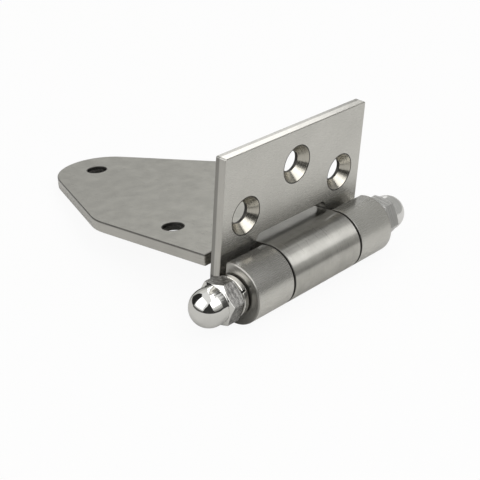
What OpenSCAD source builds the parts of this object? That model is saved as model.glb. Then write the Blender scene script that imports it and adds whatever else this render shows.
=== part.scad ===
// Notched leaf hinge. Two flat steel leaves are rolled round one shouldered pin,
// and a spring washer and a domed cap nut hold each end of the pin.
// +X runs along the pin, +Y towards the tip of the long leaf, +Z up.
// The origin lies on the surface that the hinge rests on, under the middle of its box.

/* [Leaves] */
// Width of both leaves along the pin
hinge_w = 88; // [80:1:120]
// Thickness of the plate that both leaves are made from
plate_t = 5; // [3:0.5:6]
// Height of the short leaf above the axis of the pin
short_h = 55; // [50:1:90]
// Distance from the axis of the pin to where the sides of the long leaf start to taper
side_l = 80; // [62:1:100]
// Radius that blends each side of the long leaf into its taper
side_r = 22; // [6:1:36]
// Distance from the axis of the pin to the end of the long leaf's tip
long_l = 144; // [136:1:190]
// Radius of the long leaf's tip
tip_r = 22; // [16:1:28]

/* [Barrel] */
// Diameter of the pin
pin_d = 16; // [12:1:20]
// Clearance all round between the pin and the knuckles
pin_fit = 0.05; // [0.03:0.01:0.1]
// Gap between the middle knuckle and each end knuckle
knuckle_gap = 0.5; // [0.3:0.1:1.5]
// Bevel on the round end edges of the knuckles
knuckle_bevel = 0.4; // [0.2:0.1:0.8]
// Gap between the cut end of each roll and the leaf that it is rolled from
roll_gap = 3; // [1:0.5:4]

/* [Notches] */
// Height of the short leaf's notch over the back of the long leaf
notch_clear = 2.4; // [2:0.1:6]
// Corner radius of the short leaf's notch
notch_r = 3; // [1:0.5:5]
// Clearance between the end knuckles and the cut-back edge of the long leaf
cutback_clear = 1.7; // [1.2:0.1:5]
// Inner corner radius where the long leaf's tab meets its cut-back edge
tab_r = 1.2; // [0.5:0.1:1.5]

/* [Screw holes] */
// Diameter of the screw holes
hole_d = 9; // [5:0.5:10]
// Diameter of the countersinks
sink_d = 16; // [13:0.5:18]
// Angle of the countersinks
sink_angle = 90; // [82:1:100]
// Distance from the sides of both leaves to their outer holes
hole_edge = 14; // [11:0.5:18]
// Height of the short leaf's outer holes above the axis of the pin
short_hole_z = 26.5; // [24:0.5:34]
// Distance from the short leaf's top edge to its middle hole
short_hole_top = 15.5; // [11:0.5:20]
// Distance from the axis of the pin to the long leaf's outer holes
long_hole_u = 46; // [34:1:60]
// Distance from the end of the long leaf's tip to its hole
tip_hole_edge = 17; // [12:0.5:22]

/* [Pin ends, washers and nuts] */
// Diameter of the pin's threaded ends
thread_d = 10; // [8:1:10]
// Clearance all round between the threaded ends and what sits on them
thread_fit = 0.05; // [0.03:0.01:0.2]
// How far the pin's shoulders stand out of the barrel
pin_proud = 0.9; // [0.3:0.1:4]
// Bevel on the pin's shoulders and ends
pin_bevel = 0.8; // [0.3:0.1:1.5]
// Thickness of the spring washers
washer_t = 2.3; // [1.5:0.1:3]
// Outer diameter of the spring washers
washer_d = 17.5; // [16:0.5:20]
// Width of the cut through each spring washer
washer_split = 0.8; // [0.5:0.1:2]
// Size of the cap nuts across their flats
nut_af = 17; // [15:0.5:19]
// Whole height of the cap nuts
nut_h = 19.2; // [17:0.1:22]
// Height of the hexagon on the cap nuts
nut_hex_h = 8.1; // [6:0.1:9]
// How far the bevels of the cap nuts reach in from their flats
nut_bevel = 0.6; // [0.2:0.1:0.9]
// Diameter of the dome on the cap nuts
dome_d = 16; // [14:0.5:16]
// Depth of the threaded hole in the cap nuts
nut_bore_l = 13; // [11:0.5:13]
// Space left in each cap nut past the end of the pin
thread_gap = 2; // [1:0.5:4]
// Angle at which the near cap nut has come to rest
near_nut_turn = 48; // [0:1:59]
// Angle at which the far cap nut has come to rest
far_nut_turn = 3; // [0:1:59]

/* [Hidden] */
$fn = 96;

bore_r = pin_d / 2 + pin_fit;
barrel_r = bore_r + plate_t;
half_w = hinge_w / 2;
middle_half = half_w / 2 - knuckle_gap / 2;
notch_half = middle_half + knuckle_gap;
notch_z = barrel_r + notch_clear;
cutback_u = barrel_r + cutback_clear;
hole_x = half_w - hole_edge;
mid_hole_z = short_h - short_hole_top;
sink_depth = (sink_d - hole_d) / 2 / tan(sink_angle / 2);
tip_hole_u = long_l - tip_hole_edge;
tip_centre = [0, long_l - tip_r];
// A roll's round edge runs on past its cut end, into the gap before its leaf.
roll_sweep = 270 + asin((bore_r - roll_gap / 2) / barrel_r);

// The hinge lies on its barrel and on the lower edge of the long leaf's tip,
// so the long leaf slopes down to the tip by this angle.
slope = asin(barrel_r / norm([long_l, bore_r])) + atan2(bore_r, long_l);
tip_y = long_l * cos(slope) + barrel_r * sin(slope);
pin_y = (barrel_r - tip_y) / 2;

// Each taper leaves the end of the side and just touches the tip's arc.
taper_reach = tip_centre - [half_w, side_l];
taper_angle = atan2(-taper_reach[0], taper_reach[1]) - asin(tip_r / norm(taper_reach));
taper_dir = [cos(taper_angle), sin(taper_angle)];
side_end = side_l - side_r * tan(taper_angle / 2);
blend = [half_w - side_r, side_end];
taper_start = blend + side_r * taper_dir;
taper_end = tip_centre + tip_r * taper_dir;

shoulder_x = half_w + pin_proud;
nut_x = shoulder_x + washer_t;
thread_r = thread_d / 2;
thread_end_x = nut_x + nut_bore_l - thread_gap;
nut_bore_r = thread_r + thread_fit;
nut_corner_r = nut_af / 2 / cos(30);
nut_face_r = nut_af / 2 - nut_bevel;

// Where the cut through each spring washer has come to rest, and how far it slants.
split_turn = 141;
split_lean = 12;
// How far the tools of a cut reach past the face that they cut.
over = 1;

brushed_steel = [0.70, 0.69, 0.66];
bright_steel = [0.82, 0.82, 0.80];

// Puts a piece that was drawn round the pin's axis into its resting place.
module seated() {
    translate([0, pin_y, barrel_r]) children();
}

// Draws a profile of Y and Z and runs it along the pin from x0 to x1.
module along_pin(x0, x1) {
    translate([x0, 0, 0]) rotate([90, 0, 90]) linear_extrude(x1 - x0) children();
}

// Turns a profile of radius and length about the pin's axis.
module round_pin(start = 0, sweep = 360) {
    rotate([90, 0, 90]) rotate([0, 0, start]) rotate_extrude(angle = sweep) children();
}

// The section of a leaf: a plate that runs straight up and is rolled round the pin at its foot.
module rolled_section(run) {
    difference() {
        circle(r = barrel_r);
        circle(r = bore_r);
        translate([bore_r - roll_gap, 0]) square([roll_gap, barrel_r + over]);
    }
    translate([bore_r, 0]) square([plate_t, run]);
}

// Bevels the round edge of a knuckle's end at x, which faces along dir, from the angle start.
module knuckle_end_cut(x, dir, start) {
    translate([x, 0, 0]) round_pin(start, roll_sweep)
        polygon([[barrel_r - knuckle_bevel - over, dir * over],
                 [barrel_r + over, -dir * (knuckle_bevel + over)],
                 [barrel_r + over, dir * over]]);
}

// A countersunk screw hole that is drilled down from z = 0, with its countersink on top.
module screw_hole() {
    translate([0, 0, -plate_t - over]) cylinder(d = hole_d, h = plate_t + 2 * over);
    translate([0, 0, -sink_depth]) cylinder(d1 = hole_d, d2 = sink_d, h = sink_depth);
    cylinder(d = sink_d, h = over);
}

// The opening that lets the long leaf's tab through the short leaf, seen from the front.
module notch_outline() {
    translate([-notch_half, -barrel_r - over])
        square([2 * notch_half, barrel_r + over + notch_z - notch_r]);
    translate([-notch_half + notch_r, 0]) square([2 * (notch_half - notch_r), notch_z]);
    for (side = [-1, 1])
        translate([side * (notch_half - notch_r), notch_z - notch_r]) circle(r = notch_r);
}

module short_leaf() {
    color(brushed_steel) seated() difference() {
        along_pin(-half_w, half_w) rolled_section(short_h);
        translate([0, barrel_r + over, 0]) rotate([90, 0, 0])
            linear_extrude(2 * (barrel_r + over)) notch_outline();
        for (x = [-hole_x, hole_x])
            translate([x, bore_r, short_hole_z]) rotate([90, 0, 0]) screw_hole();
        translate([0, bore_r, mid_hole_z]) rotate([90, 0, 0]) screw_hole();
        for (side = [-1, 1]) {
            knuckle_end_cut(side * half_w, side, -roll_sweep);
            knuckle_end_cut(side * notch_half, -side, -roll_sweep);
        }
    }
}

// Half of the long leaf's outline, without its tab: side, taper and tip as tangent lines and arcs.
module half_outline() {
    polygon([[0, cutback_u], [half_w, cutback_u], [half_w, side_end], blend,
             taper_start, taper_end, tip_centre]);
    intersection() {
        translate(blend) circle(r = side_r);
        polygon([blend, blend + [2 * side_r, 0], blend + 2 * side_r * taper_dir]);
    }
}

// The long leaf's flat outline, drawn with x along the pin and y away from it.
module long_outline() {
    translate(tip_centre) circle(r = tip_r);
    translate([-middle_half, 0]) square([2 * middle_half, cutback_u + over]);
    for (side = [0, 1]) mirror([side, 0]) {
        half_outline();
        difference() {
            translate([middle_half - over, cutback_u - tab_r])
                square([tab_r + over, tab_r + over]);
            translate([middle_half + tab_r, cutback_u - tab_r]) circle(r = tab_r);
        }
    }
}

module long_leaf() {
    color(brushed_steel) seated() rotate([-slope, 0, 0]) difference() {
        union() {
            translate([0, 0, bore_r]) linear_extrude(plate_t) long_outline();
            along_pin(-middle_half, middle_half) mirror([1, -1]) rolled_section(over);
        }
        for (x = [-hole_x, hole_x])
            translate([x, long_hole_u, bore_r]) rotate([180, 0, 0]) screw_hole();
        translate([0, tip_hole_u, bore_r]) rotate([180, 0, 0]) screw_hole();
        for (side = [-1, 1]) knuckle_end_cut(side * middle_half, side, 90);
    }
}

// A plain shaft between the shoulders and a thinner end for the thread at each side.
module hinge_pin() {
    end_r = thread_r - pin_bevel;
    shaft_r = pin_d / 2;
    color(brushed_steel) seated() round_pin() polygon([
        [0, -thread_end_x], [end_r, -thread_end_x], [thread_r, -thread_end_x + pin_bevel],
        [thread_r, -shoulder_x], [shaft_r - pin_bevel, -shoulder_x],
        [shaft_r, -shoulder_x + pin_bevel], [shaft_r, shoulder_x - pin_bevel],
        [shaft_r - pin_bevel, shoulder_x], [thread_r, shoulder_x],
        [thread_r, thread_end_x - pin_bevel], [end_r, thread_end_x], [0, thread_end_x]]);
}

// A spring washer at the left end, pressed flat, with a slanting cut through it.
module spring_washer() {
    color(bright_steel) difference() {
        translate([-nut_x, 0, 0]) round_pin()
            translate([nut_bore_r, 0]) square([washer_d / 2 - nut_bore_r, washer_t]);
        rotate([split_turn, 0, 0]) translate([-nut_x + washer_t / 2, washer_d / 2, 0])
            rotate([0, split_lean, 0]) cube([2 * washer_t, washer_d, washer_split], center = true);
    }
}

// A cap nut at the left end: a bevelled hexagon, a short neck and a dome, with a blind hole.
module cap_nut(turn) {
    dome_r = dome_d / 2;
    side_r = nut_corner_r + over;
    foot = (side_r - nut_face_r) * tan(30);
    color(bright_steel) translate([-nut_x, 0, 0]) rotate([turn, 0, 0]) mirror([1, 0, 0])
        difference() {
            union() {
                intersection() {
                    rotate([90, 0, 90]) cylinder(r = nut_corner_r, h = nut_hex_h, $fn = 6);
                    round_pin() polygon([[0, 0], [nut_face_r, 0], [side_r, foot],
                                         [side_r, nut_hex_h - foot],
                                         [nut_face_r, nut_hex_h], [0, nut_hex_h]]);
                }
                rotate([0, 90, 0]) cylinder(r = dome_r, h = nut_h - dome_r);
                translate([nut_h - dome_r, 0, 0]) sphere(r = dome_r);
            }
            translate([-over, 0, 0]) rotate([0, 90, 0])
                cylinder(r = nut_bore_r, h = nut_bore_l + over);
        }
}

module near_spring_washer() {
    seated() spring_washer();
}

module far_spring_washer() {
    seated() rotate([0, 0, 180]) spring_washer();
}

module near_cap_nut() {
    seated() cap_nut(near_nut_turn);
}

module far_cap_nut() {
    seated() mirror([1, 0, 0]) cap_nut(far_nut_turn);
}

long_leaf();
short_leaf();
hinge_pin();
near_spring_washer();
far_spring_washer();
near_cap_nut();
far_cap_nut();
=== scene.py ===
"""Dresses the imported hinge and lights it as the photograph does.

Two leaves of steel plate are rolled round one pin. A spring washer and a domed cap nut hold
each end of the pin. Shapes are worked out in millimetres and put into meshes in metres, in
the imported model's own frame: +X along the pin, +Y towards the long leaf's tip, +Z up.
"""

import logging
import math
from dataclasses import dataclass, field
from enum import Enum, IntEnum

import bmesh
import bpy
import numpy as np
from mathutils import Matrix, Vector
from mathutils.geometry import delaunay_2d_cdt


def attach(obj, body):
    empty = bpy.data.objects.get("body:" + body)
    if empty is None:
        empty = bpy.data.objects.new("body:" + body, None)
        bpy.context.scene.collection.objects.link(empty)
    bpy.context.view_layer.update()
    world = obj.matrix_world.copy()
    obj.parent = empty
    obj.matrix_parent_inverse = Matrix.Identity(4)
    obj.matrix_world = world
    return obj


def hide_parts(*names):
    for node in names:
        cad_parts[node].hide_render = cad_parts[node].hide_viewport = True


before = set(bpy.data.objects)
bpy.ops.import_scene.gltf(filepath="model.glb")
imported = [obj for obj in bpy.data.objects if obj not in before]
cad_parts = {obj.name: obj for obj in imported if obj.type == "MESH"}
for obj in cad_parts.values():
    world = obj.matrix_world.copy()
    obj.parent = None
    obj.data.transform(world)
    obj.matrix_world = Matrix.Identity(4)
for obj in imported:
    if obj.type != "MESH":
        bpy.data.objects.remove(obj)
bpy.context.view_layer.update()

LOG = logging.getLogger("hinge")
MM = 0.001
WELD = 2e-7
ROUND_STEPS = 4
DOME_STEPS = 32
HOLE_STEPS = 96
STOP_CLEAR = 0.02
TINY = 1e-6
WHITE = (1.0, 1.0, 1.0, 1.0)
Array = np.ndarray
Materials = list[bpy.types.Material]
Socket = bpy.types.NodeSocket


class Zone(IntEnum):
    """The places on a piece that are finished in different ways."""

    FACE = 0
    EDGE = 1
    BORE = 2
    # Painted shade: faces in gaps, cuts, hole walls and the roll's inside, made near black for the
    # shade there.
    RAW = 3


class Side(Enum):
    """The two ends of the pin, and which way along X each one points."""

    NEAR = -1
    FAR = 1


def unit(v: Array) -> Array:
    """Scales the vectors along the last axis to length 1.

    Args:
        v: Vectors of any count.
    Returns:
        The unit vectors.
    """
    return v / np.maximum(np.linalg.norm(v, axis=-1, keepdims=True), 1e-12)


def left_of(d: Array) -> Array:
    """Turns plane directions by a quarter turn to the left."""
    return np.stack([-d[..., 1], d[..., 0]], axis=-1)


def rounded(corners: Array, radii: list[float], closed: bool, step: float = 6.0,
            arc: float = 7.5, stops: Array | None = None) -> tuple[Array, Array]:
    """Joins corners by straight lines and rounds each corner with an arc that touches both.

    An arc of radius r starts r * tan(turn / 2) before its corner. Its centre lies r to the
    inner side of the path, and its points go round that centre in equal steps.

    Args:
        corners: Corner points in a plane, (k, 2).
        radii: A radius for each corner. The ends of an open path take none.
        closed: Whether the last corner joins the first.
        step: The longest straight piece.
        arc: The largest angle between two points of an arc, in degrees.
        stops: Second coordinates at which lines along that axis get a point too.
    Returns:
        The points and their unit normals, to the right of the path.
    """
    arcs: list[tuple[Array, Array]] = []
    count = len(corners)
    for i, here in enumerate(corners):
        d1 = unit(here - corners[i - 1])
        d2 = unit(corners[(i + 1) % count] - here)
        if not closed and i in (0, count - 1):
            arcs.append((here[None], (d1 if i else d2)[None]))
            continue
        turn = math.atan2(d1[0] * d2[1] - d1[1] * d2[0], float(d1 @ d2))
        r, sign = radii[i], math.copysign(1.0, turn)
        start = here - d1 * r * math.tan(abs(turn) / 2)
        centre = start + sign * r * left_of(d1)
        a = np.linspace(0.0, turn, max(2, math.ceil(abs(math.degrees(turn)) / arc)) + 1)
        heading = np.stack([d1[0] * np.cos(a) - d1[1] * np.sin(a),
                            d1[0] * np.sin(a) + d1[1] * np.cos(a)], axis=1)
        arcs.append((centre - sign * r * left_of(heading), heading))

    points: list[Array] = []
    headings: list[Array] = []
    for i, (bend, heading) in enumerate(arcs):
        points.append(bend)
        headings.append(heading)
        if not closed and i == count - 1:
            break
        a, b = bend[-1], arcs[(i + 1) % count][0][0]
        length = float(np.linalg.norm(b - a))
        pieces = max(1, math.ceil(length / step))
        t = np.arange(1, pieces) / pieces
        if stops is not None and length > TINY and abs(b[0] - a[0]) < 1e-9:
            low, high = sorted((a[1], b[1]))
            inside = stops[(stops > low + STOP_CLEAR) & (stops < high - STOP_CLEAR)]
            t = np.sort((inside - a[1]) / (b[1] - a[1]))
        points.append(a + t[:, None] * (b - a))
        headings.append(np.repeat(unit(b - a)[None], len(t), axis=0))
    return np.concatenate(points), -left_of(np.concatenate(headings))


@dataclass
class Patch:
    """Part of a surface.

    Attributes:
        points: Points, (n, 3).
        normals: The unit normal at each point.
        faces: Point numbers of each face, (m, 3) or (m, 4).
        grain: For each corner of each face, how far along and across the grain it lies.
        zone: Which finish the faces take.
    """

    points: Array
    normals: Array
    faces: Array
    grain: Array
    zone: Zone

    def part(self, chosen: Array, zone: Zone) -> "Patch":
        """The chosen faces alone, with a finish of their own."""
        return Patch(self.points, self.normals, self.faces[chosen], self.grain[chosen], zone)


def grid_patch(points: Array, normals: Array, along: Array, across: Array,
               zone: Zone) -> Patch:
    """Joins a grid of points with four-cornered faces.

    Args:
        points: The grid, (rows, columns, 3).
        normals: The unit normals of the grid's points.
        along: How far along the grain each point lies, (rows, columns).
        across: How far across the grain each point lies, (rows, columns).
        zone: Which finish the faces take.
    Returns:
        The patch.
    """
    rows, columns = points.shape[:2]
    index = np.arange(rows * columns).reshape(rows, columns)
    faces = np.stack([index[:-1, :-1], index[:-1, 1:], index[1:, 1:], index[1:, :-1]],
                     axis=-1).reshape(-1, 4)
    grain = np.stack(np.broadcast_arrays(along, across), axis=-1).reshape(-1, 2)
    return Patch(points.reshape(-1, 3), normals.reshape(-1, 3), faces, grain[faces], zone)


def turned(profile: Array, normals: Array, zone: Zone) -> Patch:
    """Turns a profile of radius and length about the first axis.

    The point at angle a is (length, radius * cos a, radius * sin a).

    Args:
        profile: Radius and length, (k, 2).
        normals: The profile's unit normals in the same plane.
        zone: Which finish the faces take.
    Returns:
        The patch. Its grain runs round the axis.
    """
    a = np.linspace(0.0, 2 * math.pi, HOLE_STEPS + 1)
    c, s = np.cos(a), np.sin(a)
    r, x = profile[:, :1], profile[:, 1:]
    points = np.stack([x + 0 * c, r * c, r * s], axis=-1)
    n = np.stack([normals[:, 1:] + 0 * c, normals[:, :1] * c, normals[:, :1] * s], axis=-1)
    run = np.concatenate([[0.0], np.cumsum(np.linalg.norm(np.diff(profile, axis=0), axis=1))])
    return grid_patch(points, n, np.maximum(r, 1.0) * a, run[:, None] + 0 * a, zone)


@dataclass
class Shell:
    """A closed piece that is put together from patches."""

    name: str
    patches: list[Patch] = field(default_factory=list)
    sheet: list[Array] = field(default_factory=list)

    def build(self, body: str, slot: str, node: str, materials: Materials) -> None:
        """Welds the patches, gives the mesh its normals, grain and finishes, and places it.

        Args:
            body: The body that the piece rides on.
            slot: The record's material slot. Not used.
            node: The solid that the piece stands for.
            materials: A material for each zone.
        """
        starts = np.cumsum([0] + [len(p.points) for p in self.patches])
        points = np.concatenate([p.points for p in self.patches]) * MM
        normals = unit(np.concatenate([p.normals for p in self.patches]))
        loops = np.concatenate([(p.faces + s).ravel() for p, s in zip(self.patches, starts)])
        sizes = np.concatenate([np.full(len(p.faces), p.faces.shape[1]) for p in self.patches])
        zones = np.concatenate([np.full(len(p.faces), int(p.zone)) for p in self.patches])
        grain = np.concatenate([p.grain.reshape(-1, 2) for p in self.patches]) * MM
        mesh = bpy.data.meshes.new(self.name)
        mesh.vertices.add(len(points))
        mesh.vertices.foreach_set("co", points.ravel())
        mesh.loops.add(len(loops))
        mesh.loops.foreach_set("vertex_index", loops.astype(np.int32))
        mesh.polygons.add(len(sizes))
        mesh.polygons.foreach_set("loop_start", (np.cumsum(sizes) - sizes).astype(np.int32))
        mesh.polygons.foreach_set("material_index", zones.astype(np.int32))
        mesh.update(calc_edges=True)
        mesh.uv_layers.new(name="grain").uv.foreach_set("vector", grain.ravel())
        kept = mesh.attributes.new("kept_normal", "FLOAT_VECTOR", "POINT")
        kept.data.foreach_set("vector", normals.ravel())
        if self.sheet:
            flat = mesh.attributes.new("sheet", "FLOAT_VECTOR", "POINT")
            flat.data.foreach_set("vector", np.concatenate(self.sheet).ravel() * MM)
        self._weld(mesh)
        for material in materials:
            mesh.materials.append(material)
        piece = bpy.data.objects.new(self.name, mesh)
        bpy.context.scene.collection.objects.link(piece)
        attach(piece, body)
        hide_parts(node)
        LOG.info("%s: %d faces for %s", self.name, len(mesh.polygons), node)

    @staticmethod
    def _weld(mesh: bpy.types.Mesh) -> None:
        """Merges the points that patches share and sets the smooth normals again.

        Args:
            mesh: The mesh to weld.
        """
        work = bmesh.new()
        work.from_mesh(mesh)
        bmesh.ops.remove_doubles(work, verts=work.verts, dist=WELD)
        bmesh.ops.recalc_face_normals(work, faces=work.faces)
        open_edges = sum(not e.is_manifold for e in work.edges)
        work.to_mesh(mesh)
        work.free()
        if open_edges:
            LOG.warning("%s has %d open edges", mesh.name, open_edges)
        kept = mesh.attributes["kept_normal"]
        normals = np.empty(3 * len(mesh.vertices))
        kept.data.foreach_get("vector", normals)
        mesh.attributes.remove(kept)
        mesh.shade_smooth()
        mesh.normals_split_custom_set_from_vertices(normals.reshape(-1, 3).tolist())


@dataclass(frozen=True)
class Sizes:
    """The hinge's sizes in millimetres, the same as the solids'."""

    half_w: float = 44.0
    plate_t: float = 5.0
    short_h: float = 55.0
    side_l: float = 80.0
    side_r: float = 22.0
    long_l: float = 144.0
    tip_r: float = 22.0
    bore_r: float = 8.05
    knuckle_gap: float = 0.5
    roll_gap: float = 3.0
    notch_clear: float = 2.4
    notch_r: float = 3.0
    cutback_clear: float = 1.7
    tab_r: float = 1.2
    hole_r: float = 4.5
    sink_r: float = 8.0
    hole_edge: float = 14.0
    short_hole_z: float = 26.5
    short_hole_top: float = 15.5
    long_hole_u: float = 46.0
    tip_hole_edge: float = 17.0
    pin_r: float = 8.0
    thread_r: float = 5.0
    pin_proud: float = 0.9
    washer_t: float = 2.3
    washer_r: float = 8.75
    washer_split: float = 0.8
    nut_af: float = 17.0
    nut_h: float = 19.2
    nut_hex_h: float = 8.1
    nut_bevel: float = 0.6
    dome_r: float = 8.0
    nut_bore_r: float = 5.05
    nut_bore_l: float = 13.0
    thread_gap: float = 2.0

    @property
    def barrel_r(self) -> float:
        """The outer radius of the knuckles."""
        return self.bore_r + self.plate_t

    @property
    def middle_half(self) -> float:
        """Half the length of the middle knuckle."""
        return (self.half_w - self.knuckle_gap) / 2

    @property
    def notch_half(self) -> float:
        """Half the width of the short leaf's notch."""
        return self.middle_half + self.knuckle_gap

    @property
    def roll_l(self) -> float:
        """How long the roll is round its outside."""
        return self.barrel_r * float(self.roll_end(np.array(self.plate_t)))

    @property
    def slope(self) -> float:
        """The angle by which the long leaf slopes down to its tip."""
        far, low = self.long_l, self.bore_r
        return math.asin(self.barrel_r / math.hypot(far, low)) + math.atan2(low, far)

    @property
    def pin_y(self) -> float:
        """Where the pin's axis lies along Y."""
        tip_y = self.long_l * math.cos(self.slope) + self.barrel_r * math.sin(self.slope)
        return (self.barrel_r - tip_y) / 2

    @property
    def nut_x(self) -> float:
        """Where each cap nut starts."""
        return self.half_w + self.pin_proud + self.washer_t

    def roll_end(self, w: Array) -> Array:
        """The angle at which the roll's flat cut end lies, w above the bore's wall.

        The cut is a plane that stays roll_gap away from the leaf's inner face.

        Args:
            w: Height above the inner face.
        Returns:
            Angles in radians.
        """
        return 2 * math.pi - np.arccos((self.bore_r - self.roll_gap) / (self.bore_r + w))


@dataclass
class Leaf:
    """A leaf: a flat plate with rounded edges whose foot is rolled round the pin.

    Its surface is drawn flat, as (x, s, w): x along the pin, s along the plate from the
    roll and below zero in it, w up from the inner face. Then it is bent and put in place.

    Attributes:
        size: The hinge's sizes.
        edge_r: The radius of the plate's arrises.
        knuckle_r: The radius of the arrises outside the roll.
        blend: How far above the roll one radius runs into the other.
        corner_r: The radius of the outline's plain corners.
        rows: How many rows of faces the roll has.
        row_step: How far apart the upright edges' points lie above the roll.
        rim_w: How deep the painted shade round a countersink's rim reaches.
        lengthways: Whether the tool lines run along the leaf, not along the pin.
    """

    size: Sizes
    edge_r: float = 0.35
    knuckle_r: float = 0.55
    blend: float = 3.0
    corner_r: float = 0.8
    rows: int = 72
    row_step: float = 4.0
    rim_w: float = 0.05
    lengthways: bool = False

    def outline(self) -> tuple[Array, list[float]]:
        """The flat outline's corners, anticlockwise, and their radii."""
        raise NotImplementedError

    def holes(self) -> list[tuple[float, float]]:
        """The places of the screw holes as x and s."""
        raise NotImplementedError

    def place(self, x: Array, out: Array, run: Array) -> Array:
        """Puts points given along the pin, out from it and along the plate in their place."""
        raise NotImplementedError

    def bent(self, flat: Array) -> Array:
        """Rolls the flat leaf's foot round the pin.

        On the plate, a point lies bore_r + w out and s along. In the roll it lies on the
        circle of radius bore_r + w, at the angle that s is as a share of the whole roll.

        Args:
            flat: Points as x, s and w.
        Returns:
            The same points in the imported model's frame, in millimetres.
        """
        x, s, w = flat[:, 0], flat[:, 1], flat[:, 2]
        z = self.size
        r = z.bore_r + w
        a = np.maximum(-s, 0.0) / z.roll_l * z.roll_end(w)
        return self.place(x, r * np.cos(a), np.where(s < 0, -r * np.sin(a), s))

    def bent_normals(self, flat: Array, normals: Array) -> Array:
        """Carries normals through the bend by the inverse of its slopes, turned over.

        Args:
            flat: Points as x, s and w.
            normals: Their normals on the flat leaf.
        Returns:
            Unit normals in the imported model's frame.
        """
        h = 1e-4
        slopes = np.stack([(self.bent(flat + h * e) - self.bent(flat - h * e)) / (2 * h)
                           for e in np.eye(3)], axis=-1)
        return unit(np.einsum("nji,nj->ni", np.linalg.inv(slopes), normals))

    def stops(self) -> Array:
        """The heights at which the upright edges get points: close in the roll, far above it."""
        roll = -self.size.roll_l * np.arange(1, self.rows) / self.rows
        return np.concatenate([roll, np.arange(0.0, self.size.long_l, self.row_step)])

    def rim(self) -> tuple[Array, Array, Array, Array]:
        """Works out the plate's rounded outline.

        Returns:
            Its points and normals, and how far its lower and upper edges are rounded.
        """
        corners, radii = self.outline()
        path, normals = rounded(corners, radii, closed=True, stops=self.stops())
        rolled = np.clip(1.0 - path[:, 1] / self.blend, 0.0, 1.0)
        lower = np.full(len(path), self.edge_r)
        upper = self.edge_r + (self.knuckle_r - self.edge_r) * rolled
        return path, normals, lower, upper

    def side_patches(self) -> list[Patch]:
        """The edge all round the plate. Where one knuckle faces another, it is painted dark as the
        shade in the gap.

        A quarter round of radius r starts r inside the outline on the face and ends r up
        the side: at angle a it lies r * (1 - sin a) inside and r * (1 - cos a) up.

        Returns:
            The finished part and the part painted as shade, both on the flat leaf.
        """
        path, normals, lower, upper = self.rim()
        a = np.linspace(0.0, math.pi / 2, ROUND_STEPS + 1)[:, None]
        t = self.size.plate_t
        inset = np.concatenate([lower * (1 - np.sin(a)), (upper * (1 - np.sin(a)))[::-1]])
        height = np.concatenate([lower * (1 - np.cos(a)), (t - upper * (1 - np.cos(a)))[::-1]])
        out = np.concatenate([np.sin(a), np.sin(a)[::-1]])
        up = np.concatenate([-np.cos(a), np.cos(a)[::-1]])
        ring = np.arange(len(path) + 1) % len(path)
        flat = path[ring] - inset[:, ring, None] * normals[ring]
        points = np.concatenate([flat, height[:, ring, None]], axis=-1)
        n = np.concatenate([out[:, :, None] * normals[ring],
                            np.broadcast_to(up[:, :, None], out.shape[:1] + (len(ring), 1))],
                           axis=-1)
        steps = np.linalg.norm(np.diff(path[ring], axis=0), axis=1)
        along = np.concatenate([[0.0], np.cumsum(steps)])
        made = grid_patch(points, n, along[None], height[:, ring], Zone.EDGE)
        x, s, w = made.points[made.faces].mean(axis=1).T
        # Painted shade: the knuckles' facing ends, inside the gaps between knuckles, take the
        # near-black finish.
        facing = (s < 0) & (s > 1.0 - self.size.roll_l) & (np.abs(x) < self.size.half_w - 1.0)
        facing &= (w > self.edge_r) & (w < t - 0.1 * self.knuckle_r)
        return [made.part(~facing, Zone.EDGE), made.part(facing, Zone.RAW)]

    def hole_profile(self) -> tuple[Array, Array]:
        """Works out a screw hole's section, from the inner face to the back.

        Returns:
            Its points as radius and height, and their normals.
        """
        z = self.size
        depth = z.sink_r - z.hole_r
        corners = np.array([[z.sink_r + 0.4, 0.0], [z.sink_r, 0.0], [z.hole_r, depth],
                            [z.hole_r, z.plate_t], [z.hole_r + 0.5, z.plate_t]])
        return rounded(corners, [0.0, 0.45, 0.5, 0.3, 0.0], closed=False, step=0.25)

    def hole_patches(self, x: float, s: float) -> list[Patch]:
        """The wall of one screw hole, turned round its own axis.

        The cone is turned clean. Its rim and the straight wall behind it are painted dark as shade.

        Args:
            x: Its place along the pin.
            s: Its place along the leaf.
        Returns:
            The two patches on the flat leaf.
        """
        profile, normals = self.hole_profile()
        made = turned(profile, -normals, Zone.BORE)
        shift = np.array([x, s, 0.0])
        made.points = made.points[:, [1, 2, 0]] + shift
        made.normals = made.normals[:, [1, 2, 0]]
        # Painted shade: the rim and the straight wall behind the cone take the near-black finish.
        w = made.points[made.faces, 2].mean(axis=1)
        cone = (w > self.rim_w) & (w < self.size.sink_r - self.size.hole_r)
        return [made.part(cone, Zone.BORE), made.part(~cone, Zone.RAW)]

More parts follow.
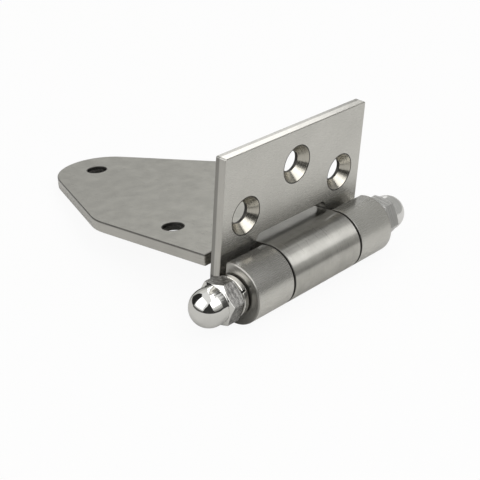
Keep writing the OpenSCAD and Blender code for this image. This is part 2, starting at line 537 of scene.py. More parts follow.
    def face_patch(self, upper: bool) -> Patch:
        """One face of the leaf: a triangulated sheet inside the outline with round holes.

        Every row of the roll is held as an edge, so that the bend stays round.

        Args:
            upper: Whether it is the outer face.
        Returns:
            The patch on the flat leaf.
        """
        path, normals, low_r, up_r = self.rim()
        border = path - (up_r if upper else low_r)[:, None] * normals
        count = len(border)
        loops, edges = [border], [np.stack([np.arange(count), (np.arange(count) + 1) % count], 1)]
        profile, _ = self.hole_profile()
        hole_r = float(profile[-1 if upper else 0, 0])
        a = np.linspace(0.0, 2 * math.pi, HOLE_STEPS + 1)[:-1]
        start = count
        for x, s in self.holes():
            loops.append(np.stack([x + hole_r * np.cos(a), s + hole_r * np.sin(a)], axis=1))
            ring = np.arange(len(a))
            edges.append(start + np.stack([ring, (ring + 1) % len(a)], axis=1))
            start += len(a)
        upright = np.abs(normals[:, 0]) > 0.999
        for row in self.stops()[:self.rows]:
            on_row = np.flatnonzero((np.abs(border[:, 1] - row) < TINY) & upright)
            on_row = on_row[np.argsort(border[on_row, 0])]
            if len(on_row) % 2 == 0:
                edges.append(on_row.reshape(-1, 2))
        flat = np.concatenate(loops)
        made = delaunay_2d_cdt(flat.tolist(), np.concatenate(edges).tolist(), [], 0, TINY)
        points, faces = np.array([tuple(v) for v in made[0]]), np.array(made[2])
        middle = points[faces].mean(axis=1)
        inside = self._inside(middle, border)
        for x, s in self.holes():
            inside &= np.hypot(middle[:, 0] - x, middle[:, 1] - s) > hole_r * 0.999
        faces = faces[inside]
        up = 1.0 if upper else -1.0
        w = np.full((len(points), 1), self.size.plate_t if upper else 0.0)
        n = np.broadcast_to(np.array([0.0, 0.0, up]), (len(points), 3))
        grain = points[:, ::-1] if self.lengthways else points
        return Patch(np.concatenate([points, w], axis=1), n, faces, grain[faces], Zone.FACE)

    @staticmethod
    def _inside(points: Array, loop: Array) -> Array:
        """Tells which points lie inside a loop, by counting the edges to their right.

        Args:
            points: Points in the plane.
            loop: The closed loop's points.
        Returns:
            A true or false value for each point.
        """
        a, b = loop, np.roll(loop, -1, axis=0)
        x, y = points[:, :1], points[:, 1:]
        spans = (a[:, 1] > y) != (b[:, 1] > y)
        rise = np.where(np.abs(b[:, 1] - a[:, 1]) < 1e-12, 1e-12, b[:, 1] - a[:, 1])
        cut = a[:, 0] + (y - a[:, 1]) / rise * (b[:, 0] - a[:, 0])
        return (np.sum(spans & (x < cut), axis=1) % 2) == 1

    def build(self, node: str, body: str, materials: Materials) -> None:
        """Makes the whole leaf.

        Args:
            node: The solid that it stands for.
            body: The body that it rides on.
            materials: The finishes of its faces, edges, countersinks and the places painted dark as
                shade.
        """
        shell = Shell(f"{node}_plate")
        inner = self.face_patch(False)
        # Painted shade: the inner face inside the roll, round the pin and in the slot, takes the
        # near-black finish.
        rolled = inner.points[inner.faces, 1].mean(axis=1) < 0
        patches = [*self.side_patches(), self.face_patch(True),
                   inner.part(~rolled, Zone.FACE), inner.part(rolled, Zone.RAW)]
        for x, s in self.holes():
            patches += self.hole_patches(x, s)
        for p in patches:
            shell.sheet.append(p.points)
            shell.patches.append(Patch(self.bent(p.points), self.bent_normals(p.points, p.normals),
                                       p.faces, p.grain, p.zone))
        shell.build(body, "leaf_steel", node, materials)


@dataclass
class ShortLeaf(Leaf):
    """The short upright leaf, with the notch that lets the long leaf through."""

    def outline(self) -> tuple[Array, list[float]]:
        """Gives the two knuckles, the notch between them and the top.

        Returns:
            The outline's corners and their radii.
        """
        z, c = self.size, self.corner_r
        top = z.barrel_r + z.notch_clear
        corners = [[-z.half_w, -z.roll_l], [-z.notch_half, -z.roll_l], [-z.notch_half, top],
                   [z.notch_half, top], [z.notch_half, -z.roll_l], [z.half_w, -z.roll_l],
                   [z.half_w, z.short_h], [-z.half_w, z.short_h]]
        return np.array(corners), [c, c, z.notch_r, z.notch_r, c, c, c, c]

    def holes(self) -> list[tuple[float, float]]:
        """Two outer holes in one row and a middle one above them."""
        z = self.size
        x = z.half_w - z.hole_edge
        return [(-x, z.short_hole_z), (x, z.short_hole_z), (0.0, z.short_h - z.short_hole_top)]

    def place(self, x: Array, out: Array, run: Array) -> Array:
        """The plate stands up from the back of the barrel."""
        z = self.size
        return np.stack([x, z.pin_y + out, z.barrel_r + run], axis=-1)


@dataclass
class LongLeaf(Leaf):
    """The long leaf: a rolled tab, straight sides, two tapers and a round tip."""

    lengthways: bool = True

    def outline(self) -> tuple[Array, list[float]]:
        """Gives the tab, the cut-back edge, the sides and the tip.

        The tapers meet at a point from which the tip's round is a plain corner radius.

        Returns:
            The outline's corners and their radii.
        """
        z, c = self.size, self.corner_r
        back = z.barrel_r + z.cutback_clear
        dx, dy = z.half_w, z.long_l - z.tip_r - z.side_l
        a = math.atan2(dx, dy) - math.asin(z.tip_r / math.hypot(dx, dy))
        apex = z.side_l + z.half_w / math.tan(a)
        corners = [[-z.middle_half, -z.roll_l], [z.middle_half, -z.roll_l],
                   [z.middle_half, back], [z.half_w, back], [z.half_w, z.side_l], [0.0, apex],
                   [-z.half_w, z.side_l], [-z.half_w, back], [-z.middle_half, back]]
        return np.array(corners), [c, c, z.tab_r, c, z.side_r, z.tip_r, z.side_r, c, z.tab_r]

    def holes(self) -> list[tuple[float, float]]:
        """Two outer holes in one row and one near the tip."""
        z = self.size
        x = z.half_w - z.hole_edge
        return [(-x, z.long_hole_u), (x, z.long_hole_u), (0.0, z.long_l - z.tip_hole_edge)]

    def place(self, x: Array, out: Array, run: Array) -> Array:
        """The plate runs back from the top of the barrel and slopes down to its tip."""
        z = self.size
        c, s = math.cos(z.slope), math.sin(z.slope)
        return np.stack([x, z.pin_y + run * c + out * s, z.barrel_r - run * s + out * c], axis=-1)


@dataclass
class Seated:
    """A piece that is drawn round the X axis and put on the pin's axis."""

    size: Sizes

    def seat(self, made: Patch, side: Side = Side.FAR, turn: float = 0.0) -> Patch:
        """Turns a patch about the pin, mirrors it for the near end and moves it to the pin.

        Args:
            made: The patch, drawn for the end towards +X.
            side: The end of the pin.
            turn: The angle in degrees.
        Returns:
            The same patch in place.
        """
        c, s = math.cos(math.radians(turn)), math.sin(math.radians(turn))
        spin = np.array([[side.value, 0, 0], [0, c, s], [0, -s, c]], dtype=float)
        made.points = made.points @ spin + [0, self.size.pin_y, self.size.barrel_r]
        made.normals = made.normals @ spin
        return made


@dataclass
class HingePin(Seated):
    """The shouldered pin, with a thread cut on each end.

    Attributes:
        bevel: The radius of its outer corners.
        inner_r: The radius where each end meets its shoulder.
        pitch: The thread's pitch.
        depth: The thread's depth.
        row: How long the threads' rows of faces are.
        thin_out: How many rows of the plain shaft become one.
    """

    bevel: float = 0.8
    inner_r: float = 0.2
    pitch: float = 1.5
    depth: float = 0.62
    row: float = 0.12
    thin_out: int = 40

    def build(self, materials: Materials) -> None:
        """Makes the pin from one profile and cuts a helix into its ends.

        Args:
            materials: The finish of the whole pin.
        """
        z = self.size
        shoulder = z.half_w + z.pin_proud
        end = z.nut_x + z.nut_bore_l - z.thread_gap
        b = self.bevel
        half = [[z.pin_r, shoulder], [z.thread_r, shoulder], [z.thread_r, end], [0.0, end]]
        corners = np.array([[r, -x] for r, x in reversed(half)] + half)
        radii = [0.0, b, self.inner_r, b, b, self.inner_r, b, 0.0]
        profile, normals = rounded(corners, radii, closed=False, step=self.row, arc=15.0)
        long_run = np.abs(profile[:, 1]) < shoulder - 2 * b
        keep = ~long_run
        keep[np.flatnonzero(long_run)[::self.thin_out]] = True
        made = turned(profile[keep], normals[keep], Zone.FACE)
        made.points = self.threaded(made.points, shoulder, end)
        shell = Shell("hinge_pin_turned", [self.seat(made)])
        shell.build("short_leaf_side", "pin_steel", "hinge_pin", materials)

    def threaded(self, points: Array, shoulder: float, end: float) -> Array:
        """Sinks the thread below the ends' outside.

        The depth follows a softened triangle wave of the length less the angle's share of
        the pitch, and runs out towards the shoulder and the end.

        Args:
            points: The pin's points.
            shoulder: Where each thread starts.
            end: Where the pin ends.
        Returns:
            The points with the thread in them.
        """
        x, r = points[:, 0], np.hypot(points[:, 1], points[:, 2])
        turns = x / self.pitch - np.arctan2(points[:, 2], points[:, 1]) / (2 * math.pi)
        wave = np.abs(2 * (turns - np.floor(turns)) - 1)
        cut = np.clip((wave - 0.15) / 0.7, 0.0, 1.0) * self.depth
        a = np.abs(x)
        fade = np.clip((a - shoulder - 1.0) / 1.0, 0, 1) * np.clip((end - 0.4 - a) / 1.0, 0, 1)
        fade = fade * (r > self.size.thread_r - 0.05) * (r < self.size.thread_r + 0.05)
        scale = np.where(r > TINY, (r - cut * fade) / np.maximum(r, TINY), 1.0)
        return points * np.stack([np.ones_like(scale), scale, scale], axis=1)


@dataclass
class SpringWasher(Seated):
    """A square-section ring with one slanting cut, pressed flat."""

    split_turn: float = 141.0
    lean: float = 12.0
    corner_r: float = 0.28

    def build(self, side: Side, materials: Materials) -> None:
        """Carries the section round the pin from one side of the cut to the other.

        The cut's two faces are flat and lean along the pin: a point of the section at
        length x and radius r starts at the angle whose sine is the cut's height there
        divided by r.

        Args:
            side: The end of the pin.
            materials: The finishes of the ring and of the cut's faces, which are painted dark as
                the split's shade.
        """
        z = self.size
        inner, outer = z.nut_bore_r, z.washer_r
        x0, x1 = z.nut_x - z.washer_t, z.nut_x
        corners = np.array([[x0, inner], [x1, inner], [x1, outer], [x0, outer]])
        section, normals = rounded(corners, [self.corner_r] * 4, closed=True, step=1.0, arc=22.5)
        ring = np.arange(len(section) + 1) % len(section)
        section, normals = section[ring], normals[ring]
        x, r = section[:, 0], section[:, 1]
        rise = (x - (x0 + x1) / 2) * math.tan(math.radians(self.lean))
        half = z.washer_split / 2 / math.cos(math.radians(self.lean))
        start, stop = np.arcsin((rise + half) / r), 2 * math.pi + np.arcsin((rise - half) / r)
        t = np.linspace(0.0, 1.0, 97)[:, None]
        b = start + (stop - start) * t
        points = np.stack([x + 0 * b, r * np.cos(b), r * np.sin(b)], axis=-1)
        n = np.stack([normals[:, 0] + 0 * b, normals[:, 1] * np.cos(b), normals[:, 1] * np.sin(b)],
                     axis=-1)
        steps = np.concatenate([[0.0], np.cumsum(np.linalg.norm(np.diff(section, axis=0), axis=1))])
        patches = [grid_patch(points, n, b * (inner + outer) / 2, steps + 0 * b, Zone.FACE)]
        # Painted shade: the cut's two faces take the second finish, near black, for the shade in
        # the split.
        for row, facing in ((0, -1.0), (-1, 1.0)):
            rim = points[row]
            middle = rim[:-1].mean(axis=0)
            cap = middle + np.array([1.0, 0.5, 0.0])[:, None, None] * (rim - middle)
            flat = unit(np.cross(rim[len(rim) // 3] - middle, rim[0] - middle))
            towards = np.array([0.0, -math.sin(b[row].mean()), math.cos(b[row].mean())]) * facing
            flat = flat * math.copysign(1.0, float(flat @ towards))
            patches.append(grid_patch(cap, np.broadcast_to(flat, cap.shape), cap[..., 0],
                                      cap[..., 1], Zone.EDGE))
        name = side.name.lower()
        turn = self.split_turn
        if side is Side.FAR:
            turn = -turn
            for p in patches:
                p.points, p.normals = p.points * [1, -1, 1], p.normals * [1, -1, 1]
        shell = Shell(f"{name}_spring_washer_ring", [self.seat(p, side, turn) for p in patches])
        shell.build("short_leaf_side", "washer_steel", f"{name}_spring_washer", materials)


@dataclass
class CapNut(Seated):
    """A cap nut: a hexagon bevelled at both ends, a short neck, a dome and a blind hole."""

    corner_r: float = 0.35

    def build(self, side: Side, turn: float, materials: Materials) -> None:
        """Makes the nut as one surface of angle and distance along a profile.

        At each angle the profile's corners lie where the bevel cones meet the hexagon's
        radius there, so that the bevels' curved edges are exact. Each corner is rounded.

        Args:
            side: The end of the pin.
            turn: The angle at which the nut has come to rest.
            materials: The finishes of the dome and bevels, the flats, and the hole, which is
                painted dark as shade.
        """
        z = self.size
        reach = z.nut_af / 2 / math.cos(math.pi / 6)
        a = np.arange(6) * math.pi / 3
        hexagon, _ = rounded(reach * np.stack([np.cos(a), np.sin(a)], axis=1),
                             [self.corner_r] * 6, closed=True, step=0.7, arc=10.0)
        angle = np.unwrap(np.arctan2(hexagon[:, 1], hexagon[:, 0]))
        angle = np.append(angle, angle[0] + 2 * math.pi)
        flat_r = np.hypot(hexagon[:, 0], hexagon[:, 1])
        flat_r = np.append(flat_r, flat_r[0])
        one = np.ones_like(flat_r)
        face_r = z.nut_af / 2 - z.nut_bevel
        rise = (flat_r - face_r) * math.tan(math.pi / 6)
        neck = max(face_r, z.dome_r) * one
        shoulder = z.nut_hex_h - (neck - face_r) * math.tan(math.pi / 6)
        foot, top, h = z.nut_bore_r, z.nut_h, z.nut_hex_h
        corner = [(0 * one, z.nut_bore_l * one), (foot * one, z.nut_bore_l * one),
                  (foot * one, 0 * one), (face_r * one, 0 * one), (flat_r, rise),
                  (flat_r, h - rise), (neck, shoulder), (z.dome_r * one, top * one),
                  (0 * one, top * one)]
        corners = np.array([np.stack(c, axis=1) for c in corner])
        radii = [0.0, 0.3, 0.3, 0.15, 0.2, 0.28, 0.25, z.dome_r, 0.0]
        rows, ways, marks = self.rounded_rows(corners, radii)
        c, s = np.cos(angle), np.sin(angle)
        points = np.stack([z.nut_x + rows[..., 1], rows[..., 0] * c, rows[..., 0] * s], axis=-1)
        along = np.stack([ways[..., 1], ways[..., 0] * c, ways[..., 0] * s], axis=-1)
        round_way = np.empty_like(points)
        round_way[:, 1:-1] = points[:, 2:] - points[:, :-2]
        round_way[:, 0] = round_way[:, -1] = points[:, 1] - points[:, -2]
        on_axis = rows[..., 0] < TINY
        round_way[on_axis] = (np.stack([0 * angle, -s, c], axis=-1) + 0 * points)[on_axis]
        normals = unit(np.cross(round_way, along))
        run = np.cumsum(np.linalg.norm(np.diff(rows[:, 0], axis=0, prepend=rows[:1, 0]), axis=1))
        flat_end = marks[5] - ROUND_STEPS
        spans = [(Zone.BORE, (0, marks[2])), (Zone.FACE, (marks[2], marks[4])),
                 (Zone.EDGE, (marks[4], flat_end)), (Zone.FACE, (flat_end, len(rows) - 1))]
        patches = [grid_patch(points[i:j + 1], normals[i:j + 1], 8.0 * angle,
                              run[i:j + 1, None], zone) for zone, (i, j) in spans]
        name = side.name.lower()
        shell = Shell(f"{name}_cap_nut_domed", [self.seat(p, side, turn) for p in patches])
        shell.build("short_leaf_side", "nut_steel", f"{name}_cap_nut", materials)

    @staticmethod
    def rounded_rows(corners: Array, radii: list[float]) -> tuple[Array, Array, list[int]]:
        """Rounds the corners of many profiles at once.

        Args:
            corners: The corners of each profile, (corners, columns, 2).
            radii: A radius for each corner.
        Returns:
            The rows of points, their directions along the profile, and for each corner the
            row at which its round ends.
        """
        rows, ways, marks = [corners[:1]], [unit(corners[1:2] - corners[:1])], [0]
        for i in range(1, len(corners) - 1):
            d1, d2 = unit(corners[i] - corners[i - 1]), unit(corners[i + 1] - corners[i])
            turn = np.arctan2(d1[:, 0] * d2[:, 1] - d1[:, 1] * d2[:, 0], np.sum(d1 * d2, axis=1))
            r, sign = radii[i], np.sign(turn)[:, None]
            start = corners[i] - d1 * (r * np.tan(np.abs(turn) / 2))[:, None]
            centre = start + sign * r * left_of(d1)
            count = DOME_STEPS if r > 1 else ROUND_STEPS
            a = turn * np.linspace(0.0, 1.0, count + 1)[:, None]
            way = np.stack([d1[:, 0] * np.cos(a) - d1[:, 1] * np.sin(a),
                            d1[:, 0] * np.sin(a) + d1[:, 1] * np.cos(a)], axis=-1)
            previous = rows[-1][-1]
            pieces = max(1, math.ceil(float(np.linalg.norm(start - previous, axis=1).max()) / 1.0))
            t = np.arange(1, pieces)[:, None, None] / pieces
            rows += [previous + t * (start - previous), centre - sign * r * left_of(way)]
            ways += [np.broadcast_to(d1, (pieces - 1,) + d1.shape), way]
            marks.append(sum(len(part) for part in rows) - 1)
        if radii[-2] < 1:
            rows.append(corners[-1:])
            ways.append(unit(corners[-1:] - corners[-2:-1]))
        return np.concatenate(rows), np.concatenate(ways), marks


def add_node(tree: bpy.types.NodeTree, kind: str, inputs: dict | None = None,
             **settings: object) -> bpy.types.Node:
    """Adds a shader node.

    Args:
        tree: The tree that it goes into.
        kind: Its type, without the word that all shader nodes start with.
        inputs: What its inputs get: a plain value, or another node's output to link.
        settings: Its own settings.
    Returns:
        The node.
    """
    node = tree.nodes.new("ShaderNode" + kind)
    for name, value in settings.items():
        setattr(node, name, value)
    for name, value in (inputs or {}).items():
        if isinstance(value, Socket):
            tree.links.new(value, node.inputs[name])
        else:
            node.inputs[name].default_value = value
    return node


@dataclass(frozen=True)
class Steel:
    """A steel finish: its colour, gloss, and the lines that its tool has left.

    Attributes:
        name: The material's name.
        colour: Its plain colour.
        rough: Its roughness.
        spread: How far the lines make roughness and colour vary.
        lines: How many lines cross a millimetre.
        relief: How deep the lines look, as a bump strength.
        mottle: How strongly broad soft patches change the colour.
        anisotropy: How far highlights stretch across the lines.
        dents: How deep small dents look beside the lines.
        along: Steps of painted shade along the sheet. Each goes from one place to another, in
            millimetres, and from one shade to another. Where two steps reach, the lighter one
            holds.
        across: One such step through the plate's thickness, where the plate is flat.
        patch: How many of the broad patches fit in a metre.
    """

    name: str
    colour: tuple[float, float, float]
    rough: float
    spread: float = 0.06
    lines: float = 6.0
    relief: float = 0.1
    mottle: float = 0.05
    anisotropy: float = 0.0
    dents: float = 0.0
    along: tuple[tuple[float, float, float, float], ...] = ()
    across: tuple[float, float, float, float] | None = None
    patch: float = 55.0

    def build(self) -> bpy.types.Material:
        """Makes the material.

        Streaks are a noise that is stretched along the grain and squeezed across it.

        Returns:
            The material.
        """
        material = bpy.data.materials.new(self.name)
        material.use_nodes = True
        tree = material.node_tree
        shader = tree.nodes["Principled BSDF"].inputs
        shader["Metallic"].default_value = 1.0
        shader["Anisotropic"].default_value = self.anisotropy
        per_metre = self.lines * 1000.0
        lines = add_node(tree, "Mapping", {
            "Vector": add_node(tree, "UVMap", uv_map="grain").outputs["UV"],
            "Scale": (per_metre * 0.02, per_metre, 1.0)}).outputs["Vector"]
        place = add_node(tree, "TexCoord").outputs["Object"]

        def noise(vector: Socket, scale: float, detail: float, rough: float = 0.5) -> Socket:
            """A noise of so many features in one unit of its vector."""
            return add_node(tree, "TexNoise", {"Vector": vector, "Scale": scale, "Detail": detail,
                                               "Roughness": rough}).outputs["Fac"]

        def ramp(source: Socket, low: float, high: float, start: float, end: float) -> Socket:
            """Goes from start to end while its source goes from low to high."""
            return add_node(tree, "MapRange", {"Value": source, "From Min": low, "From Max": high,
                                               "To Min": start, "To Max": end}).outputs["Result"]

        def maths(kind: str, a: Socket, b: Socket | float) -> Socket:
            """Joins two values with one operation."""
            return add_node(tree, "Math", {0: a, 1: b}, operation=kind).outputs["Value"]

        def vary(source: Socket, by: float) -> Socket:
            """Varies round 1 by as much either way over a noise's useful range."""
            return ramp(source, 0.3, 0.7, 1 - by, 1 + by)

        streaks = noise(lines, 1.0, 4.0, 0.65)
        shade = maths("MULTIPLY", vary(streaks, self.spread),
                      vary(noise(place, self.patch, 5.0, 0.55), self.mottle))
        rough = maths("MULTIPLY", vary(streaks, 2 * self.spread), self.rough)
        # Painted shade: the steps along the sheet darken bands of the rolled leaves.
        if self.along:
            sheet = add_node(tree, "Attribute", attribute_name="sheet").outputs["Vector"]
            flat = add_node(tree, "SeparateXYZ", {"Vector": sheet}).outputs

            def step(axis: str, low: float, high: float, start: float, end: float) -> Socket:
                """Goes from one shade to another between two places on the sheet."""
                return ramp(flat[axis], low * MM, high * MM, start, end)

            level = step("Y", *self.along[0])
            for values in self.along[1:]:
                level = maths("MAXIMUM", level, step("Y", *values))
            shade = maths("MULTIPLY", shade, level)
            if self.across:
                rolled = step("Y", -1.0, 0.0, 1.0, 0.0)
                shade = maths("MULTIPLY", shade, maths("MAXIMUM", rolled, step("Z", *self.across)))
        height = streaks
        if self.dents:
            pits = noise(place, 700.0, 3.0)
            height = maths("ADD", height, maths("MULTIPLY", pits, self.dents))
            shade = maths("MULTIPLY", shade, ramp(pits, 0.3, 0.7, 0.6, 1.5))
        bump = add_node(tree, "Bump", {"Strength": self.relief, "Distance": 0.1 * MM,
                                       "Height": height})
        tint = add_node(tree, "VectorMath", {0: self.colour, "Scale": shade}, operation="SCALE")
        tree.links.new(tint.outputs["Vector"], shader["Base Color"])
        tree.links.new(rough, shader["Roughness"])
        tree.links.new(bump.outputs["Normal"], shader["Normal"])
        if self.anisotropy:
            shader["Anisotropic Rotation"].default_value = 0.25
            grain = add_node(tree, "Tangent", direction_type="UV_MAP", uv_map="grain")
            tree.links.new(grain.outputs["Tangent"], shader["Tangent"])
        return material


# Painted shade: the rolled ends of the edges, the knuckles' end faces, go darker from the top of
# the roll down to its bottom and back, up to the plate's foot.
EDGE_SHADE_STEPS = ((-66.0, -30.0, 0.85, 0.5), (3.2, 3.8, 0.0, 1.0))
# Painted shade: the short leaf's knuckles darken over the last few millimetres before the roll's
# cut end, beside the slot.
BRUSHED = Steel("brushed_face", (0.61, 0.60, 0.565), 0.27, lines=7.0, relief=0.02, mottle=0.05,
                spread=0.015, anisotropy=0.8, along=((-62.5, -59.5, 0.5, 1.0),))
# Painted shade: the long leaf is darkened on the middle knuckle's top and on its bend behind the
# short leaf's notch.
SATIN = Steel("satin_face", (0.53, 0.52, 0.485), 0.30, lines=4.0, relief=0.08, mottle=0.11,
              anisotropy=0.95, patch=150.0,
              along=((-12.0, -4.0, 1.0, 0.35), (9.0, 16.0, 0.0, 1.0)))
# Both edge finishes take the painted shade steps above.
GROUND = Steel("ground_edge", (0.48, 0.47, 0.44), 0.30, lines=3.0, relief=0.15,
               along=EDGE_SHADE_STEPS, across=(2.9, 3.2, 1.0, 0.55))
SHEARED = Steel("sheared_edge", (0.48, 0.47, 0.44), 0.30, lines=3.0, relief=0.15,
                along=EDGE_SHADE_STEPS, across=(4.2, 4.5, 1.0, 0.35))
SUNK = Steel("turned_countersink", (0.45, 0.43, 0.38), 0.22, lines=6.0, relief=0.25,
             spread=0.22, anisotropy=0.85)
TURNED = Steel("turned_pin", (0.20, 0.19, 0.18), 0.35, lines=5.0, relief=0.2)
SPRING = Steel("spring_steel", (0.72, 0.71, 0.68), 0.22, lines=4.0, relief=0.1)
POLISHED = Steel("polished_dome", (0.66, 0.655, 0.63), 0.05, spread=0.02, lines=1.0, relief=0.01,
                 mottle=0.02)
# Painted shade: the near nut's flats are made far darker than the far nut's; the dents and mottle
# are the flats' own marks.
PRESSED_SHADED = Steel("pressed_flats_painted_shade", (0.26, 0.255, 0.245), 0.24, spread=0.25, lines=2.0, relief=0.8,
                mottle=0.2, dents=1.0)
# Painted light: the far nut's dome is paler than the near nut's, a lit copy of the same steel.
BUFFED_LIT = Steel("buffed_dome_painted_light", (0.80, 0.795, 0.78), 0.20, spread=0.04, lines=2.0, relief=0.03,
               mottle=0.04)
WORN = Steel("worn_flats", (0.56, 0.555, 0.54), 0.30, spread=0.10, lines=2.0, relief=0.4,
             mottle=0.1)
# Painted shade: a dark steel for the long leaf's countersinks and the nuts' bores, standing for the
# shade inside the holes.
DRILLED_HOLE_SHADE = Steel("drilled_hole_painted_shade", (0.17, 0.165, 0.155), 0.4, lines=3.0, relief=0.3)
# Painted shade: a near-black steel for faces in gaps, cuts, hole walls and the roll's inside, where
# shade falls.
GAP_SHADE = Steel("gap_painted_shade", (0.06, 0.058, 0.054), 0.5, lines=3.0, relief=0.3)


@dataclass(frozen=True)
class Softbox:
    """A rectangular lamp that faces the hinge.

    Attributes:
        name: What it is.
        azimuths: From where to where it reaches round the hinge, from +Y towards +X.
        elevations: From where to where it reaches up from the level of the pin.
        glow: How bright it looks, where the background is 1.
        distance: How far away it stands, in metres.
    """

    name: str
    azimuths: tuple[float, float]
    elevations: tuple[float, float]
    glow: float
    distance: float = 2.0


@dataclass(frozen=True)
class Card:
    """A flat card in the room that shows in reflections only.

    Attributes:
        name: What it is.
        corners: The azimuth and elevation of each of its corners, seen from the pin.
        glow: How bright it looks, where the background is 1.
        distance: How far away it stands, in metres.
    """

    name: str
    corners: tuple[tuple[float, float], ...]
    glow: float
    distance: float = 2.0


def band(left: float, right: float, low: float, high: float) -> tuple[tuple[float, float], ...]:
    """The corners of a card between two azimuths and two elevations."""
    return (left, low), (right, low), (right, high), (left, high)


@dataclass
class Studio:
    """The camera, the pale floor, the white background and the soft lights.

    Attributes:
        size: The hinge's sizes.
        eye: The camera's place from the middle of the pin, in millimetres.
        heading: Which way it looks, from +Y towards +X, in degrees.
        drop: How far it looks down.
        roll: How far it is turned about its own axis.
        lens: Its focal length for a picture 36 mm wide.
        fill: How brightly the world lights dull surfaces.
        paper: The floor's colour.
        paper_white: How much of the floor looks plain white to the camera.
        floor_half: Half the floor's width, in metres.
    """

    size: Sizes
    eye: tuple[float, float, float] = (-350.08, -258.38, 243.21)
    heading: float = 49.983
    drop: float = 28.66
    roll: float = -3.597
    lens: float = 89.715
    fill: float = 0.4
    paper: tuple[float, float, float, float] = (0.72, 0.715, 0.70, 1.0)
    paper_white: float = 0.93
    floor_half: float = 6.0

    def camera(self) -> None:
        """Puts the camera where the photograph was taken from."""
        data = bpy.data.cameras.new("camera")
        data.lens, data.sensor_width = self.lens, 36.0
        data.clip_start, data.clip_end = 0.01, 100.0
        eye = Vector(self.eye) + Vector((0.0, self.size.pin_y, self.size.barrel_r))
        a, e = math.radians(self.heading), math.radians(self.drop)
        forward = Vector((math.sin(a) * math.cos(e), math.cos(a) * math.cos(e), -math.sin(e)))
        level = forward.cross(Vector((0, 0, 1))).normalized()
        right = Matrix.Rotation(math.radians(self.roll), 3, forward) @ level
        up = right.cross(forward)
        turn = Matrix((right, up, -forward)).transposed().to_4x4()
        camera = bpy.data.objects.new("camera", data)
        camera.matrix_world = Matrix.Translation(eye * MM) @ turn
        bpy.context.scene.collection.objects.link(camera)
        bpy.context.scene.camera = camera

    def world(self) -> None:
        """A white background in sight and in reflections, and a plain grey light besides."""
        world = bpy.data.worlds.new("room")
        world.use_nodes = True
        bpy.context.scene.world = world
        tree = world.node_tree
        path = add_node(tree, "LightPath").outputs
        seen = path["Is Camera Ray"]
        for name in ("Is Glossy Ray", "Is Transmission Ray"):
            seen = add_node(tree, "Math", {0: seen, 1: path[name]}, operation="ADD",
                            use_clamp=True).outputs["Value"]
        level = add_node(tree, "MapRange", {"Value": seen, "To Min": self.fill, "To Max": 1.0})
        sky = tree.nodes["Background"].inputs
        sky["Color"].default_value = WHITE
        tree.links.new(level.outputs["Result"], sky["Strength"])

    def floor(self) -> None:
        """A plain pale floor that looks white to the camera and keeps a faint shadow."""
        mesh = bpy.data.meshes.new("floor")
        r = self.floor_half
        mesh.from_pydata([(-r, -r, 0), (r, -r, 0), (r, r, 0), (-r, r, 0)], [], [(0, 1, 2, 3)])
        material = bpy.data.materials.new("floor_paper")
        material.use_nodes = True
        tree = material.node_tree
        paper = tree.nodes["Principled BSDF"]
        paper.inputs["Base Color"].default_value = self.paper
        paper.inputs["Roughness"].default_value = 1.0
        paper.inputs["Specular IOR Level"].default_value = 0.0
        white = add_node(tree, "Emission", {"Color": WHITE, "Strength": 1.0})
        seen = add_node(tree, "LightPath").outputs["Is Camera Ray"]
        share = add_node(tree, "Math", {0: seen, 1: self.paper_white}, operation="MULTIPLY")
        mix = add_node(tree, "MixShader", {0: share.outputs["Value"], 1: paper.outputs["BSDF"],
                                           2: white.outputs["Emission"]})
        tree.links.new(mix.outputs["Shader"], tree.nodes["Material Output"].inputs["Surface"])
        mesh.materials.append(material)
        floor = bpy.data.objects.new("floor", mesh)
        floor.location.z = -0.2 * MM
        bpy.context.scene.collection.objects.link(floor)

    @property
    def pin(self) -> Vector:
        """The middle of the pin, in metres."""
        return Vector((0.0, self.size.pin_y * MM, self.size.barrel_r * MM))

    @staticmethod
    def away(azimuth: float, elevation: float) -> Vector:
        """The unit vector that points from the pin in a direction."""
        a, e = math.radians(azimuth), math.radians(elevation)
        return Vector((math.sin(a) * math.cos(e), math.cos(a) * math.cos(e), math.sin(e)))

    def hang(self, box: Softbox) -> None:
        """Hangs one lamp, as wide and high as its angles need at its distance.

        Args:
            box: The lamp.
        """
        w, h = (2 * box.distance * math.tan(math.radians((v[1] - v[0]) / 2))
                for v in (box.azimuths, box.elevations))
        axis = self.away(sum(box.azimuths) / 2, sum(box.elevations) / 2)
        data = bpy.data.lights.new(box.name, "AREA")
        data.shape, data.size, data.size_y = "RECTANGLE", w, h
        data.energy = box.glow * math.pi * w * h
        lamp = bpy.data.objects.new(box.name, data)
        lamp.visible_camera = False
        turn = axis.to_track_quat("Z", "Y").to_matrix().to_4x4()
        lamp.matrix_world = Matrix.Translation(self.pin + axis * box.distance) @ turn
        bpy.context.scene.collection.objects.link(lamp)

    def stand(self, card: Card) -> None:
        """Stands one card in the room.

        Its plane faces the pin from the mean of its corners' directions, and each corner
        lies where its direction meets that plane.

        Args:
            card: The card.
        """
        rays = [self.away(*corner) for corner in card.corners]
        axis = sum(rays, Vector()).normalized()
        mesh = bpy.data.meshes.new(card.name)
        corners = [self.pin + ray * (card.distance / ray.dot(axis)) for ray in rays]
        mesh.from_pydata(corners, [], [tuple(range(len(corners)))])
        mesh.materials.append(self.glow(card.name, card.glow))
        made = bpy.data.objects.new(card.name, mesh)
        made.visible_camera = made.visible_diffuse = made.visible_shadow = False
        bpy.context.scene.collection.objects.link(made)

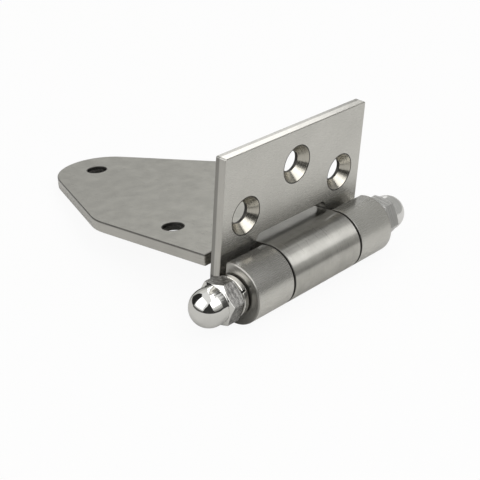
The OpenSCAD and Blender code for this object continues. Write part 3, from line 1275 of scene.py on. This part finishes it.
    @staticmethod
    def glow(name: str, level: float) -> bpy.types.Material:
        """Makes a plain grey surface that looks equally bright from everywhere.

        Args:
            name: The material's name.
            level: How bright it looks, where the background is 1.
        Returns:
            The material.
        """
        material = bpy.data.materials.new(name)
        material.use_nodes = True
        tree = material.node_tree
        light = add_node(tree, "Emission", {"Color": (level, level, level * 0.97, 1.0)})
        out = tree.nodes["Material Output"].inputs["Surface"]
        tree.links.new(light.outputs["Emission"], out)
        return material

    def build(self) -> None:
        """Sets up the whole studio."""
        self.camera()
        self.world()
        self.floor()
        for box in SOFTBOXES:
            self.hang(box)
        for card in CARDS:
            self.stand(card)


SOFTBOXES = [
    Softbox("left_softbox", (-97.0, -46.0), (15.0, 62.0), 1.4),
    Softbox("front_softbox", (143.0, 204.0), (31.0, 66.0), 1.6),
    Softbox("overhead_softbox", (75.0, 165.0), (66.0, 86.0), 1.6, distance=1.6),
    Softbox("back_softbox", (42.0, 64.0), (20.0, 40.0), 2.0),
]
CARDS = [
    Card("camera_side", ((-164.0, 4.0), (-156.0, 16.0), (-144.0, 40.0), (-133.0, 57.0),
                         (-120.0, 36.0), (-108.0, 23.0), (-101.0, 4.0)), 0.05, distance=1.5),
    Card("back_curtain", ((-42.0, -1.0), (-38.0, 30.0), (-31.0, 53.0), (-12.0, 52.0),
                          (2.0, 46.0), (7.0, 30.0), (8.0, -1.0)), 0.03),
    Card("back_wall", band(8.0, 56.0, -1.0, 24.0), 0.60, distance=2.1),
    Card("back_wall_top", band(8.0, 44.0, 22.0, 50.0), 0.85, distance=2.2),
    Card("grey_ceiling", band(42.0, 78.0, 50.0, 78.0), 0.60, distance=1.5),
    Card("lamp_stand", ((92.0, 50.0), (98.0, 50.0), (134.0, 80.0), (126.0, 80.0)), 0.20,
         distance=1.4),
    Card("right_wall", ((56.0, -1.0), (57.8, 37.3), (69.4, 44.0), (90.0, 47.7), (110.6, 44.0),
                        (125.2, 34.5), (132.0, 25.1), (135.9, 14.7), (137.7, -1.0)), 0.42,
         distance=0.58),
    Card("right_wall_rim", ((56.0, -1.0), (56.0, 45.0), (70.0, 51.8), (90.0, 54.5),
                            (115.6, 49.9), (132.0, 38.6), (138.9, 27.8), (142.8, 16.2),
                            (144.5, -1.0)), 0.08, distance=0.6),
    Card("front_low", band(136.0, 200.0, 6.0, 14.0), 0.42, distance=1.9),
    Card("front_mid", band(136.0, 200.0, 13.0, 22.0), 0.75, distance=2.0),
    Card("front_skirting", band(136.0, 200.0, -2.5, 7.0), 0.08, distance=0.35),
    Card("camera_skirting", band(-164.0, -98.0, -2.5, 7.0), 0.05, distance=0.35),
    Card("left_skirting", band(-100.0, -40.0, -2.5, 6.0), 0.15, distance=0.35),
]


def main() -> None:
    """Builds the hinge's pieces in order, then the studio."""
    logging.basicConfig(level=logging.INFO, format="%(name)s: %(message)s")
    bpy.context.scene.view_settings.view_transform = "Standard"
    size = Sizes()
    # Painted shade: the hole finish and the near-black finish stand for the shade in holes, gaps,
    # the washers' cuts and the roll's inside.
    hole_shade, rough, spring = DRILLED_HOLE_SHADE.build(), GAP_SHADE.build(), SPRING.build()
    # The two nuts are alike: the near nut's flats carry painted shade, the far nut's dome painted
    # light.
    near_nut, far_nut = [POLISHED.build(), PRESSED_SHADED.build()], [BUFFED_LIT.build(), WORN.build()]
    LongLeaf(size).build("long_leaf", "long_leaf_side",
                         [SATIN.build(), SHEARED.build(), hole_shade, rough])
    ShortLeaf(size).build("short_leaf", "short_leaf_side",
                          [BRUSHED.build(), GROUND.build(), SUNK.build(), rough])
    HingePin(size).build([TURNED.build()])
    for side, nut_turn, bright in ((Side.NEAR, 48.0, near_nut), (Side.FAR, 3.0, far_nut)):
        SpringWasher(size).build(side, [spring, rough])
        CapNut(size).build(side, nut_turn, [*bright, hole_shade])
    Studio(size).build()


if __name__ == "__main__":
    main()
